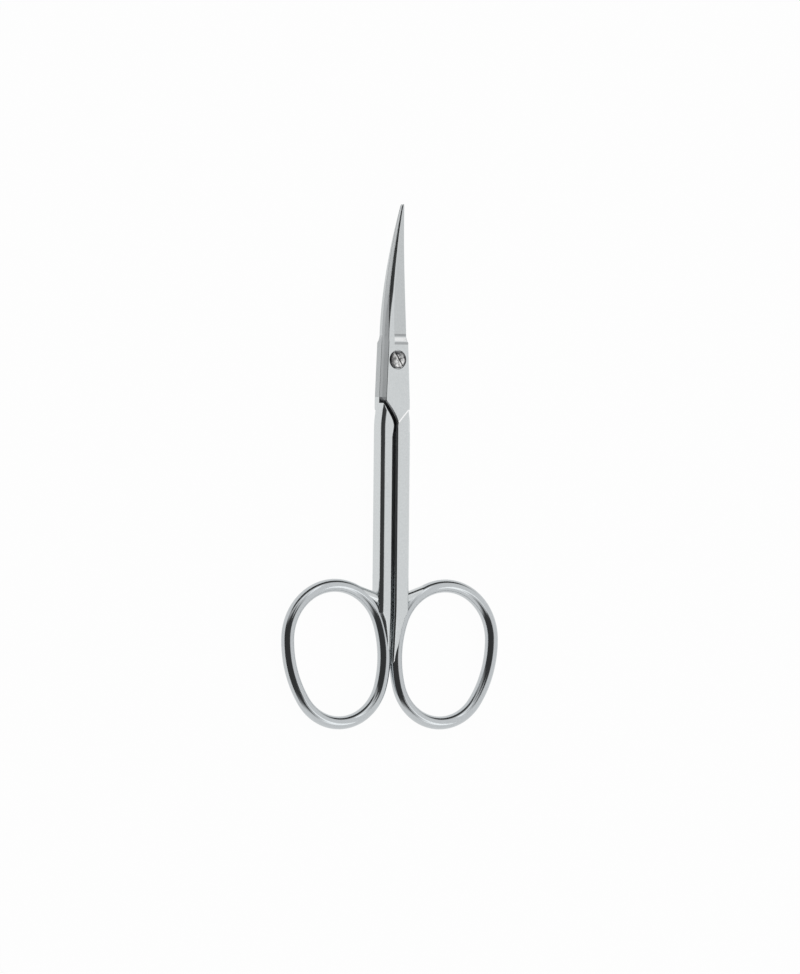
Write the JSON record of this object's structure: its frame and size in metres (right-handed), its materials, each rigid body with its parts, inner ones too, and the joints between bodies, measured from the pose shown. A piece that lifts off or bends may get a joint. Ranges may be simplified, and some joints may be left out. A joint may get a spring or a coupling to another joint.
{
  "type": "cuticle scissors",
  "caption": "Curved cuticle scissors: slim pointed blades on a slotted screw pivot, straight shanks and oval round-wire finger bows, polished metal, closed.",
  "frame": {"origin": "where the pivot axis meets the flat underside of the joint", "axes": "+Y along the blades to the tips, +X to the bow of the upper half, +Z along the pivot axis to the screw head"},
  "size_m": [0.0436, 0.0922, 0.0053],
  "materials": {
    "polished_blade": "polished nickel or chrome plate over steel",
    "polished_wire": "polished nickel or chrome plate over steel wire",
    "screw_steel": "bright plated screw"
  },
  "bodies": {
    "lower_half": {"lower_blade": "polished_blade", "left_finger_bow": "polished_wire", "pivot_screw": "screw_steel"},
    "upper_half": {"upper_blade": "polished_blade", "right_finger_bow": "polished_wire"}
  },
  "joints": [
    {"name": "blade_pivot", "type": "hinge", "parent": "lower_half", "child": "upper_half", "pos_m": [0, 0, 0], "axis": [0, 0, 1], "range_deg": [0, 140]}
  ]
}
